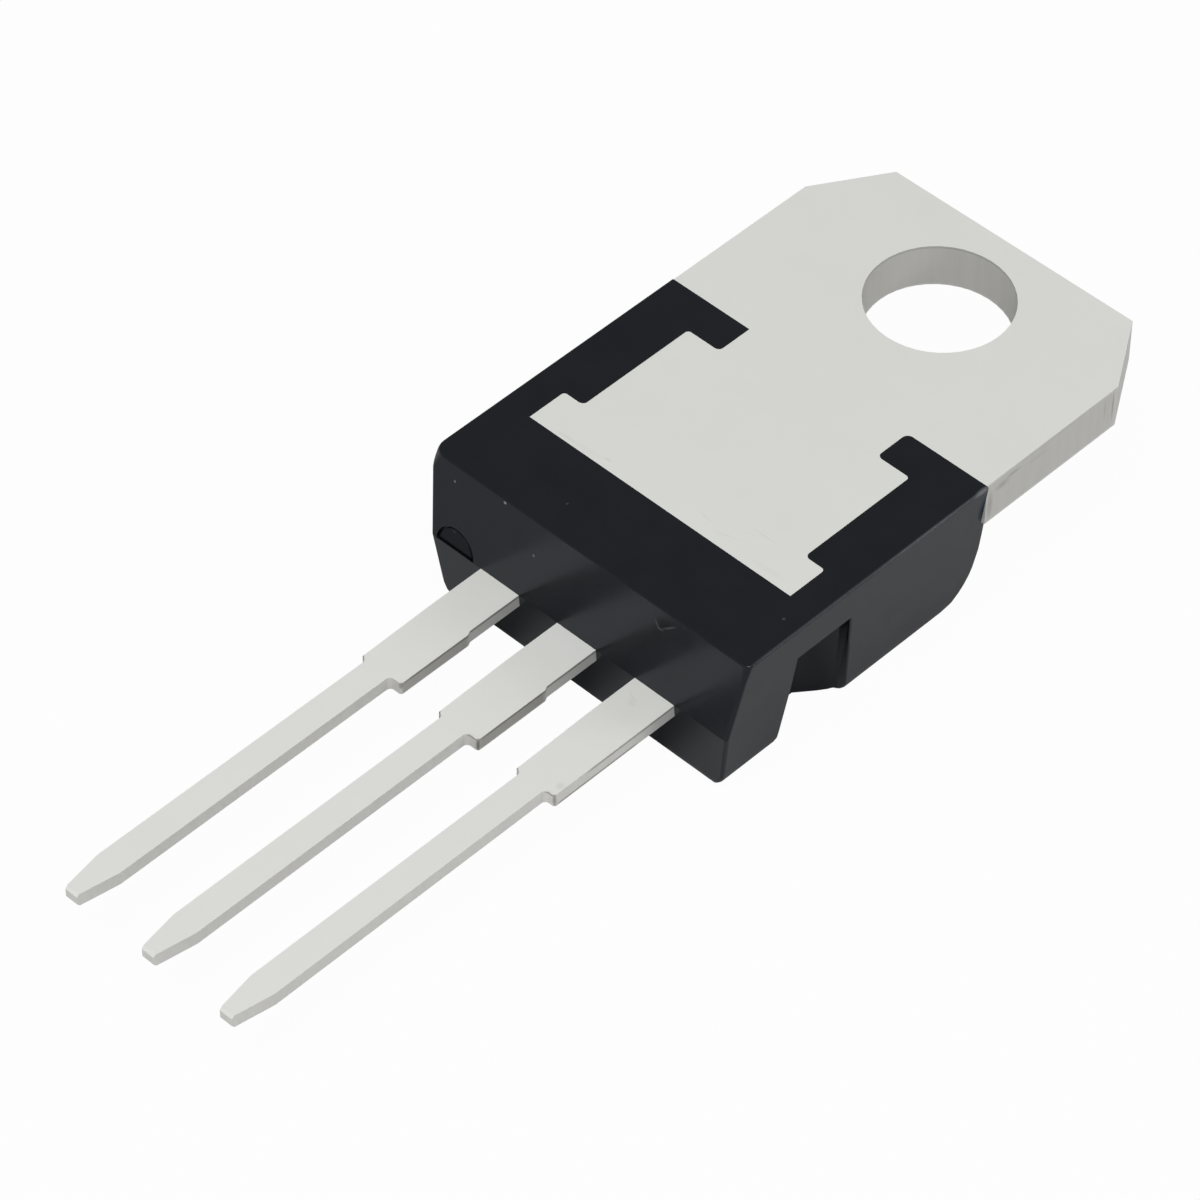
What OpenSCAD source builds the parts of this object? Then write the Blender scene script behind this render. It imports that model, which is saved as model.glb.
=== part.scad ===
// Three-lead voltage regulator in a moulded power package with a drilled metal tab.
// It lies on its moulded front face, with the heat-sink face up and the leads towards -Y.
// The origin is the middle of the whole outline, at the level of the front face.

/* [Package] */
// Thickness from the front face to the heat-sink face
pkg_t = 4.5; // [4.3:0.05:4.8]
// How far the moulding stands out beside the tab, at the heat-sink face
body_proud = 0.05; // [0:0.01:0.2]
// How far the drafted sides have drawn in at the parting line
parting_in = 0.29; // [0.15:0.01:0.4]
// How far the drafted sides would have drawn in at the front face
front_in = 0.59; // [0.4:0.01:0.8]
// Length of the body along the heat-sink face, from the lead end to the tab
body_len = 8.27; // [8.1:0.01:8.8]
// How far the parting line stands out at the lead end
end_bulge = 0.36; // [0.2:0.02:0.5]
// How far the foot of the lead end stands out
end_foot = 0.19; // [0.05:0.01:0.3]
// How far the nose laps under the tab
nose_lap = 0.17; // [0.05:0.01:0.25]
// How far the nose stands out at the parting line
nose_bulge = 0.21; // [0.1:0.01:0.3]
// How far the foot of the nose stands out, before its rounding
nose_foot = 0.17; // [0:0.01:0.3]

/* [Roundings] */
// Rounding along the front face's two long edges
side_r = 0.6; // [0.3:0.02:0.9]
// Rounding of the front face's edge at the leads
end_r = 0.32; // [0.1:0.02:0.6]
// Rounding of the front face's edge below the tab
nose_r = 1.45; // [0.8:0.05:1.8]
// Upright corners at the leads, over most of their height
corner_r = 0.1; // [0.05:0.01:0.2]
// Upright corner on the +X side at the leads, where it meets the heat-sink face
corner_back_r = 0.18; // [0.1:0.01:0.4]
// Upright corner on the -X side at the leads, where it meets the heat-sink face
corner_worn_r = 0.42; // [0.1:0.01:0.5]
// Height of the stretch over which those corners open out
corner_blend = 0.5; // [0.3:0.1:1]
// Upright corners of the nose, at the front face
corner_nose_r = 0.5; // [0.2:0.02:0.7]

/* [Tab and heat spreader] */
// Width of the tab
tab_w = 10.2; // [9.9:0.05:10.2]
// Thickness of the tab and of the pad inside the body
tab_t = 1.27; // [1.2:0.01:1.4]
// Length of the bare tab
tab_len = 6.73; // [6.2:0.01:7]
// Width taken off at each outer corner
corner_cut_x = 1.24; // [0.6:0.02:1.6]
// Length taken off at each outer corner
corner_cut_y = 1.99; // [1:0.01:2.2]
// Diameter of the mounting hole
hole_d = 3.8; // [3.5:0.05:3.9]
// Distance from the hole's axis to the tab's end
hole_end = 2.7; // [2.6:0.05:3]
// Depth of the two locking slots, from the tab's sides
lock_deep = 2.53; // [2.3:0.01:2.8]
// Length of each locking slot, from the seam inwards
lock_len = 1.07; // [0.8:0.01:1.3]
// Rounding of the outline's inside corners
lock_r = 0.15; // [0.05:0.01:0.25]
// Rounding of the locking slot's outer corner on the +X side
mouth_r = 0.18; // [0.05:0.01:0.25]
// Rounding of the pad's and the ears' outside corners
pad_r = 0.1; // [0.03:0.01:0.15]
// How far the pad that carries the chip is set in from the tab's sides
pad_in = 1.5; // [1.4:0.05:1.7]
// Distance from the body's lead end to the pad
pad_start = 2.38; // [2.2:0.02:2.6]
// How far the pad's two ears are set in from the tab's sides
ear_in = 0.87; // [0.7:0.01:1.1]
// Length of the ears
ear_len = 1.18; // [0.9:0.01:1.3]

/* [Leads] */
// Distance between the leads' middle lines
pitch = 2.54; // [2.54]
// Thickness of the leads
lead_t = 0.38; // [0.35:0.01:0.6]
// Height of the leads' lower side above the front face
lead_z = 1.71; // [1.6:0.01:1.9]
// Width of the wide part next to the body
wide_w = 1.25; // [1.1:0.01:1.5]
// Width of the long narrow part
narrow_w = 0.77; // [0.65:0.01:0.9]
// Distance from the body's lead end to the shoulders
shoulder_out = 4.33; // [3.8:0.01:4.6]
// Distance from the body's lead end to the tips
lead_out = 14.03; // [13:0.01:14.5]
// How far the narrow part sits off the wide part's middle
shoulder_shift = 0.045; // [0:0.005:0.06]
// How far the trimmed edges drift sideways from root to shoulder
trim_drift = 0.045; // [0:0.005:0.06]
// Height of the burr step where the tie bar was cut off
tie_step = 0.06; // [0:0.01:0.1]
// Distance from the body's lead end to that step
tie_out = 2.05; // [1.6:0.01:2.4]
// Rounding inside the shoulders
shoulder_r = 0.13; // [0.05:0.01:0.15]
// Rounding of the shoulders' outer corners
shoulder_edge_r = 0.08; // [0.03:0.01:0.12]
// Length of the pointed end
taper_len = 1.15; // [0.8:0.05:1.6]
// Width of the tip
tip_w = 0.38; // [0.25:0.01:0.5]
// Bevel on the tip's upper and lower edges
tip_bevel = 0.07; // [0.04:0.01:0.15]

/* [Mould marks] */
// Distance from the body's lead end to the near wall of the side pockets
pocket_start = 1.87; // [1.8:0.01:2]
// Length of the side pockets at their roof
pocket_len = 1.81; // [1.7:0.01:2]
// How far the near wall has moved out at the front face
pocket_near_flare = 0.19; // [0.1:0.01:0.3]
// How far the far wall has moved out at the front face
pocket_far_flare = 0.42; // [0.2:0.01:0.5]
// Depth of the pockets at their roof, from the body's widest line
pocket_deep = 1.42; // [1.2:0.02:1.5]
// How much deeper the pockets are at the front face
pocket_draft = 0.13; // [0.05:0.01:0.2]
// Length along the inner wall of the slanted wall in the pockets' far corner
slant_y = 0.78; // [0.6:0.02:1]
// Depth of that slanted wall at the front face
slant_x = 0.62; // [0.4:0.02:0.8]
// How much deeper it is at the pockets' roof
slant_more = 0.34; // [0:0.02:0.5]
// How far the pockets' roof lies above the front side of the ears
pocket_over = 0.12; // [0.05:0.01:0.2]
// Rounding of the pockets' inner corners
pocket_r = 0.16; // [0.1:0.02:0.25]
// Radius of the half-moon gate mark
gate_r = 0.62; // [0.4:0.02:0.7]
// Distance of the gate mark from the body's side
gate_in = 1.1; // [1.05:0.05:1.4]
// Depth of the gate mark
gate_deep = 0.11; // [0.08:0.01:0.2]
// Width of the groove around the broken gate stub
gate_gap = 0.07; // [0.05:0.01:0.15]
// How far the stub stands up inside the mark
gate_stub = 0.06; // [0.03:0.01:0.07]

/* [Inside] */
// Width of the silicon chip
die_w = 2.1; // [1.8:0.1:2.6]
// Length of the silicon chip
die_l = 1.8; // [1.6:0.1:2.4]
// Thickness of the silicon chip
die_t = 0.3; // [0.2:0.02:0.4]
// Distance from the pad's lead end to the chip's middle
die_in = 2.1; // [1.8:0.1:2.4]
// Thickness of the solder under the chip
solder_t = 0.05; // [0.03:0.01:0.08]
// How far the solder shows all round the chip
solder_rim = 0.1; // [0.05:0.05:0.2]
// Width of the bond posts on the two outer leads
post_w = 1.9; // [1.6:0.05:2]
// Length of the bond posts
post_l = 1.15; // [0.9:0.05:1.2]
// Distance from the body's lead end to the bond posts
post_in = 0.75; // [0.6:0.05:0.8]
// Diameter of the bond wires
wire_d = 0.15; // [0.1:0.01:0.2]
// Height of the wires' loops, above the chip and the posts
loop_h = 1.05; // [0.8:0.05:1.2]
// Height of the loop of the ground wire
ground_loop_h = 0.6; // [0.4:0.05:0.8]
// Diameter of the pressed ends of the wires
bond_d = 0.34; // [0.25:0.01:0.4]
// Thickness of the pressed ends
bond_t = 0.09; // [0.05:0.01:0.12]

/* [Hidden] */
$fn = 64;

body_w = tab_w + 2 * body_proud;
parting_w = body_w - 2 * parting_in;
front_w = body_w - 2 * front_in;
neck_w = tab_w - 2 * lock_deep;
pad_w = tab_w - 2 * pad_in;
ear_w = tab_w - 2 * ear_in;
gate_x = body_w / 2 - gate_in;
tab_end = body_len + tab_len;
back_edge_y = (lead_out - tab_end) / 2;   // where the body's lead end lies on the heat-sink face
parting_z = lead_z + lead_t;              // the mould parts at the leads' upper side
under_z = pkg_t - tab_t;                  // the tab's and the pad's front side
roof_z = under_z + pocket_over;
hole_y = tab_end - hole_end;
pad_end = body_len - lock_len;
end_draft = atan(end_bulge / (pkg_t - parting_z));
chip_y = pad_start + die_in;
chip_z = under_z - solder_t - die_t;      // the chip's bonded side
cut = 1;                                  // how far a cutter reaches past what it cuts
nose_edge_r = 0.06;                       // the nose's corners where they meet the tab
arc_steps = 6;
foot_steps = 9;
wire_sides = 8;
wire_steps = 12;

function lerp(a, b, t) = a + (b - a) * t;

// How far a rounding of radius r has drawn its wall in at height z
function foot(z, r) = z < r ? r - sqrt(r * r - pow(r - z, 2)) : 0;

// Share of the way from the parting line up to the heat-sink face
function back_share(z) = (z - parting_z) / (pkg_t - parting_z);

function side_x(z) =
    (z > parting_z ? lerp(parting_w, body_w, back_share(z)) : lerp(front_w, parting_w, z / parting_z)) / 2
    - foot(z, side_r);

function end_y(z) =
    -(z > parting_z ? lerp(end_bulge, 0, back_share(z)) : lerp(end_foot, end_bulge, z / parting_z))
    + foot(z, end_r);

function nose_y(z) =
    body_len - foot(z, nose_r)
    + (z > parting_z ? lerp(nose_bulge, nose_lap, min(1, (z - parting_z) / (under_z - parting_z)))
                     : lerp(nose_foot, nose_bulge, z / parting_z));

// Radius of an upright corner at the leads that opens out to back_r at the heat-sink face
function lead_corner(z, back_r) =
    corner_r + (back_r - corner_r) * pow(max(0, (z - pkg_t + corner_blend) / corner_blend), 1.5);

function nose_corner(z) = nose_edge_r + (corner_nose_r - nose_edge_r) * pow(max(0, 1 - z / under_z), 2.5);

// Closed outline of a rounded rectangle at height z, counter-clockwise from its -Y, +X corner. Its
// roundings are r0 at that corner, r1 at the two +Y corners and r2 at the -Y, -X corner.
function ring(z, x, y0, y1, r0, r1, r2) = [
    for (c = [[x - r0, y0 + r0, r0, -90], [x - r1, y1 - r1, r1, 0], [r1 - x, y1 - r1, r1, 90], [r2 - x, y0 + r2, r2, 180]])
        for (k = [0 : arc_steps])
            let (a = c[3] + 90 * k / arc_steps)
                [c[0] + c[2] * cos(a), c[1] + c[2] * sin(a), z]
];

// Heights of the body's outlines: close together along the foot roundings, then at each change of draft
body_levels = concat(
    [for (k = [0 : foot_steps]) nose_r * (1 - cos(90 * k / foot_steps))],
    [parting_z, (parting_z + under_z) / 2, under_z],
    [for (k = [0 : 4]) lerp(max(under_z + 0.1, pkg_t - corner_blend), pkg_t, k / 4)]
);

// Solid between a row of outlines that all have the same number of points
module skin(rings) {
    n = len(rings[0]);
    last = (len(rings) - 1) * n;
    polyhedron(
        points = [for (one = rings) for (p = one) p],
        faces = concat(
            [[for (k = [0 : n - 1]) k]],
            [for (i = [0 : len(rings) - 2]) for (k = [0 : n - 1]) [i * n + k, (i + 1) * n + k, (i + 1) * n + (k + 1) % n]],
            [for (i = [0 : len(rings) - 2]) for (k = [0 : n - 1]) [i * n + k, (i + 1) * n + (k + 1) % n, i * n + (k + 1) % n]],
            [[for (k = [n - 1 : -1 : 0]) last + k]]
        ),
        convexity = 6
    );
}

// Moves a piece from the body's lead end to its place in the frame
module placed() translate([0, back_edge_y, 0]) children();

// Drafted body with no marks and no room for the metal
module body_form() {
    skin([
        for (z = body_levels)
            ring(z, side_x(z), end_y(z), nose_y(z), lead_corner(z, corner_back_r), nose_corner(z),
                 lead_corner(z, corner_worn_r))
    ]);
}

// Closed outline of a side pocket at height z, measured from the body's widest line. share is 1 at the
// front face and 0 at the roof.
function pocket_ring(z, share) =
    let (
        x = -pocket_deep - pocket_draft * share,
        y0 = pocket_start - pocket_near_flare * share,
        y1 = pocket_start + pocket_len + pocket_far_flare * share
    )
    concat(
        [[x + slant_x + slant_more * (1 - share), y1, z], [x, y1 - slant_y, z]],
        [for (k = [0 : arc_steps]) let (a = 180 + 90 * k / arc_steps)
            [x + pocket_r + pocket_r * cos(a), y0 + pocket_r + pocket_r * sin(a), z]],
        [[pocket_deep, y0, z], [pocket_deep, y1, z]]
    );

// Pocket that a mould pin leaves beside each ear, open to the side and to the front face
module side_pocket() {
    translate([body_w / 2, 0, 0])
        skin([pocket_ring(-cut, 1), pocket_ring(0, 1), pocket_ring(roof_z, 0)]);
}

// Half disc that stands on the parting line, from y = from to y = to in the end face's own plane
module half_moon(r, from, to) {
    translate([0, to, 0])
        rotate([90, 0, 0])
            linear_extrude(to - from)
                intersection() {
                    circle(r);
                    translate([-r, 0]) square([2 * r, r]);
                }
}

module gate_mark() {
    translate([-gate_x, -end_bulge, parting_z])
        rotate([-end_draft, 0, 0])
            difference() {
                half_moon(gate_r, -cut, gate_deep);
                half_moon(gate_r - gate_gap, gate_deep - gate_stub, gate_deep + cut);
            }
}

// What lies between a square corner at the origin and a rounding of radius r that opens towards +X
// and +Y. Added to an outline it fills an inside corner, and taken away it rounds an outside one.
module corner_piece(r) {
    difference() {
        square(r);
        translate([r, r]) circle(r);
    }
}

// Outline of the tab, its neck and the chip pad, seen from the heat-sink face
module spreader_plan() {
    difference() {
        union() {
            polygon([
                [-tab_w / 2, body_len], [tab_w / 2, body_len], [tab_w / 2, tab_end - corner_cut_y],
                [tab_w / 2 - corner_cut_x, tab_end], [corner_cut_x - tab_w / 2, tab_end],
                [-tab_w / 2, tab_end - corner_cut_y]
            ]);
            translate([-neck_w / 2, pad_end - cut]) square([neck_w, lock_len + 2 * cut]);
            translate([-pad_w / 2, pad_start]) square([pad_w, pad_end - pad_start]);
            translate([-ear_w / 2, pad_start]) square([ear_w, ear_len]);
            translate([neck_w / 2, body_len]) scale([1, -1]) corner_piece(mouth_r);
            for (s = [-1, 1])
                scale([s, 1]) {
                    translate([neck_w / 2, pad_end]) corner_piece(lock_r);
                    translate([pad_w / 2, pad_start + ear_len]) corner_piece(lock_r);
                }
        }
        for (s = [-1, 1])
            scale([s, 1]) {
                translate([pad_w / 2, pad_end]) scale([-1, -1]) corner_piece(pad_r);
                translate([ear_w / 2, pad_start + ear_len]) scale([-1, -1]) corner_piece(pad_r);
            }
        translate([0, hole_y]) circle(d = hole_d);
    }
}

// Outline of one lead. The step faces the next lead where a tie bar was cut, and inner is how far
// the lead runs into the body.
module lead_plan(step, inner) {
    wide = wide_w / 2;
    narrow = narrow_w / 2;
    tip = tip_w / 2;
    left = trim_drift - wide;
    right = trim_drift + wide - tie_step / 2;
    shoulder = right + step;
    difference() {
        union() {
            polygon([
                [-wide, inner], [-wide, -tie_out], [left, -shoulder_out],
                [-narrow - shoulder_shift, -shoulder_out], [-narrow - shoulder_shift, taper_len - lead_out],
                [-tip - shoulder_shift, -lead_out], [tip - shoulder_shift, -lead_out],
                [narrow - shoulder_shift, taper_len - lead_out], [narrow - shoulder_shift, -shoulder_out],
                [shoulder, -shoulder_out], [shoulder, -tie_out - step], [right, -tie_out + step], [right, inner]
            ]);
            for (s = [-1, 1])
                translate([s * narrow - shoulder_shift, -shoulder_out]) scale([s, -1]) corner_piece(shoulder_r);
        }
        translate([left, -shoulder_out]) corner_piece(shoulder_edge_r);
        translate([shoulder, -shoulder_out]) scale([-1, 1]) corner_piece(shoulder_edge_r);
    }
}

// Flat lead at its height, with bevelled tip edges
module lead_blank(step, inner) {
    intersection() {
        translate([0, 0, lead_z]) linear_extrude(lead_t) lead_plan(step, inner);
        rotate([90, 0, 90])
            translate([0, 0, -pitch])
                linear_extrude(2 * pitch)
                    polygon([
                        [inner, lead_z], [inner, parting_z], [tip_bevel - lead_out, parting_z],
                        [-lead_out, parting_z - tip_bevel], [-lead_out, lead_z + tip_bevel],
                        [tip_bevel - lead_out, lead_z]
                    ]);
    }
}

// Bond post of an outer lead, wider towards the middle lead. side is 1 for +X and -1 for -X.
module bond_post(side) {
    outer = wide_w / 2;
    x0 = side > 0 ? outer - post_w : -outer;
    translate([x0, post_in, lead_z]) cube([post_w, post_l, lead_t]);
}

// Tab, chip pad and middle lead, stamped from one strip of two thicknesses
module heat_spreader() {
    rise = under_z - lead_z;
    run = pad_start - post_in;
    color([0.80, 0.80, 0.77]) placed() {
        translate([0, 0, under_z]) linear_extrude(tab_t) spreader_plan();
        lead_blank(tie_step, post_in - lead_t);
        rotate([90, 0, 90])
            translate([0, 0, -wide_w / 2])
                linear_extrude(wide_w - tie_step / 2 + trim_drift)
                    polygon([
                        [post_in - 2 * lead_t, lead_z], [post_in, lead_z], [post_in + 0.75 * run, under_z],
                        [pad_start + lead_t, under_z], [pad_start + lead_t, under_z + lead_t],
                        [post_in + 0.75 * run - lead_t / 2, under_z + lead_t], [post_in - lead_t / 2, parting_z],
                        [post_in - 2 * lead_t, parting_z]
                    ]);
    }
}

module input_lead() {
    color([0.80, 0.80, 0.78]) placed() translate([pitch, 0, 0]) {
        lead_blank(0, post_in + post_l / 2);
        bond_post(1);
    }
}

module output_lead() {
    color([0.80, 0.80, 0.78]) placed() translate([-pitch, 0, 0]) {
        lead_blank(tie_step, post_in + post_l / 2);
        bond_post(-1);
    }
}

module regulator_chip() {
    color([0.32, 0.34, 0.40]) placed()
        translate([-die_w / 2, chip_y - die_l / 2, chip_z]) cube([die_w, die_l, die_t]);
}

module chip_solder() {
    color([0.62, 0.63, 0.65]) placed()
        translate([-die_w / 2 - solder_rim, chip_y - die_l / 2 - solder_rim, under_z - solder_t])
            cube([die_w + 2 * solder_rim, die_l + 2 * solder_rim, solder_t]);
}

// Looped wire from point a to point b, which both lie on surfaces that face the front
module bond_wire(a, b, height) {
    flat = [b[0] - a[0], b[1] - a[1]];
    across = [-flat[1], flat[0], 0] / norm(flat);
    skin([
        for (i = [0 : wire_steps])
            let (
                t = 180 * i / wire_steps,
                share = (1 - cos(t)) / 2,
                p = lerp(a, b, share) - [0, 0, height * sin(t)],
                way = [flat[0] * sin(t) / 2, flat[1] * sin(t) / 2, (b[2] - a[2]) * sin(t) / 2 - height * cos(t)],
                along = way / norm(way),
                over = cross(along, across)
            )
            [for (k = [0 : wire_sides - 1])
                p + (across * cos(360 * k / wire_sides) + over * sin(360 * k / wire_sides)) * wire_d / 2]
    ]);
    for (p = [a, b])
        translate([p[0], p[1], p[2] - bond_t]) cylinder(d = bond_d, h = bond_t);
}

// Places on the chip, as shares of its half width and half length
function on_chip(sx, sy) = [sx * die_w / 2, chip_y + sy * die_l / 2, chip_z];

// Places on a bond post, as shares of its width and length from the corner next to the middle lead
function on_post(side, sx, sy) =
    [side * (pitch + wide_w / 2 - post_w * (1 - sx)), post_in + post_l * sy, lead_z];

module input_bond_wire() {
    color([0.85, 0.85, 0.86]) placed() bond_wire(on_chip(0.6, -0.5), on_post(1, 0.45, 0.5), loop_h);
}

module ground_bond_wire() {
    color([0.85, 0.85, 0.86]) placed()
        bond_wire(on_chip(0, 0.6), [0, (chip_y + die_l / 2 + pad_end) / 2 + solder_rim, under_z], ground_loop_h);
}

module output_bond_wire() {
    color([0.85, 0.85, 0.86]) placed() bond_wire(on_chip(-0.7, -0.5), on_post(-1, 0.7, 0.45), loop_h);
}

module sense_bond_wire() {
    color([0.85, 0.85, 0.86]) placed() bond_wire(on_chip(-0.25, -0.55), on_post(-1, 0.25, 0.55), loop_h);
}

// Black moulding, with room for everything that it seals in
module moulded_body() {
    color([0.16, 0.16, 0.18])
        difference() {
            placed() difference() {
                body_form();
                translate([-body_w, body_len, under_z]) cube([2 * body_w, tab_len, tab_t + cut]);
                for (s = [0, 1])
                    mirror([s, 0, 0]) side_pocket();
                gate_mark();
            }
            heat_spreader();
            input_lead();
            output_lead();
            regulator_chip();
            chip_solder();
            input_bond_wire();
            ground_bond_wire();
            output_bond_wire();
            sense_bond_wire();
        }
}

moulded_body();
heat_spreader();
input_lead();
output_lead();
regulator_chip();
chip_solder();
input_bond_wire();
ground_bond_wire();
output_bond_wire();
sense_bond_wire();
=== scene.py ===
"""Dresses a moulded power-package voltage regulator for a plain studio picture.

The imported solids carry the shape. This script softens their edges, gives every piece its
finish, and sets the floor, the light and the camera. Lengths in the classes are in
millimetres, and MM turns them into the scene's metres.
"""

import logging
import math
from dataclasses import dataclass
from enum import Enum
from typing import Callable, Optional

import bmesh
import bpy
from mathutils import Matrix, Vector

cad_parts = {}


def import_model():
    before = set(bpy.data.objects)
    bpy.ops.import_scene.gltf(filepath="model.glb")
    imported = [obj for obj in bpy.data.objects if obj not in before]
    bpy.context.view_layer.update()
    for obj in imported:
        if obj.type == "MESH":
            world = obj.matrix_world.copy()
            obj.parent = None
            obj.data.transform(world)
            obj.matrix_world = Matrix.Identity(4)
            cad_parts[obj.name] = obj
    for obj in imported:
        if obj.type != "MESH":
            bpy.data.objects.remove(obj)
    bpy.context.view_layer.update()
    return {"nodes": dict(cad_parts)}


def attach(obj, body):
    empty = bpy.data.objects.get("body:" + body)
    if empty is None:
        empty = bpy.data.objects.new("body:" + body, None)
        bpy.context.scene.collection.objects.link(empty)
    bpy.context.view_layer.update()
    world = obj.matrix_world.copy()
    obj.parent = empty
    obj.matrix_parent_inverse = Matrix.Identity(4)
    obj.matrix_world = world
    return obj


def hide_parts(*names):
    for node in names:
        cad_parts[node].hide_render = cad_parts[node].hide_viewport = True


MM = 0.001
NOISE_LOW = 0.3  # most of a noise pattern lies between these two
NOISE_HIGH = 0.7
OVAL_FADE = 0.7  # share of an oval's radius over which it fades in
DISC_FADE = 0.1  # the same for a disc
BOX_CORE = 0.85  # share of a box's half size up to which it has its full strength
CLIP_FADE = 0.02  # height over which a mark is cut off, in millimetres
WHITE = (1.0, 1.0, 1.0, 1.0)
LOG = logging.getLogger("regulator")

Colour = tuple[float, float, float]
Point = tuple[float, float, float]


class Side(Enum):
    """The ways in which a spot, of wear or of painted light and shade, changes a surface."""

    DARKER = "darker"
    LIGHTER = "lighter"


class Shape(Enum):
    """The outlines that a spot can have."""

    OVAL = "oval"
    DISC = "disc"
    BOX = "box"


@dataclass(frozen=True)
class Spot:
    """A soft-edged mark on a surface, such as a scratch, a smudge, a speck of dust, a painted
    highlight or painted shade.

    Attributes:
        centre: Middle of the mark, in millimetres.
        half_sizes: Half length, half width and half depth of the mark, in millimetres.
        turn: Turn about the vertical, in degrees.
        tilt: How far its length rises from the level, in degrees.
        above: Height below which it doesn't show, in millimetres.
        shape: Whether it is a fading oval, an oval with a crisp rim or a box.
        side: Whether the mark is darker or lighter than what is around it.
        strength: How strong it is in the middle, from 0 to 1.
    """

    centre: Point
    half_sizes: Point
    turn: float = 0.0
    tilt: float = 0.0
    above: float = -1.0
    shape: Shape = Shape.OVAL
    side: Side = Side.DARKER
    strength: float = 0.1


@dataclass(frozen=True)
class Crescent:
    """A dark crescent of painted shade, such as along one side of a round mark's rim.

    Attributes:
        centre: Middle of the round mark, in millimetres.
        radius: Its radius.
        shift: Where the disc lies that leaves the crescent, from the middle.
        above: Height below which it doesn't show, in millimetres.
        strength: How strongly it shows, from 0 to 1.
        outer_soft: Width of the fade at its outer rim.
        inner_soft: Width of the fade at its inner rim.
    """

    centre: Point
    radius: float
    shift: Point
    above: float
    strength: float
    outer_soft: float = 0.02
    inner_soft: float = 0.03


@dataclass(frozen=True)
class Grain:
    """The size of a noise pattern.

    Attributes:
        scale: How many features there are in a millimetre.
        detail: How many finer layers it has.
    """

    scale: float
    detail: float = 3.0


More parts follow.
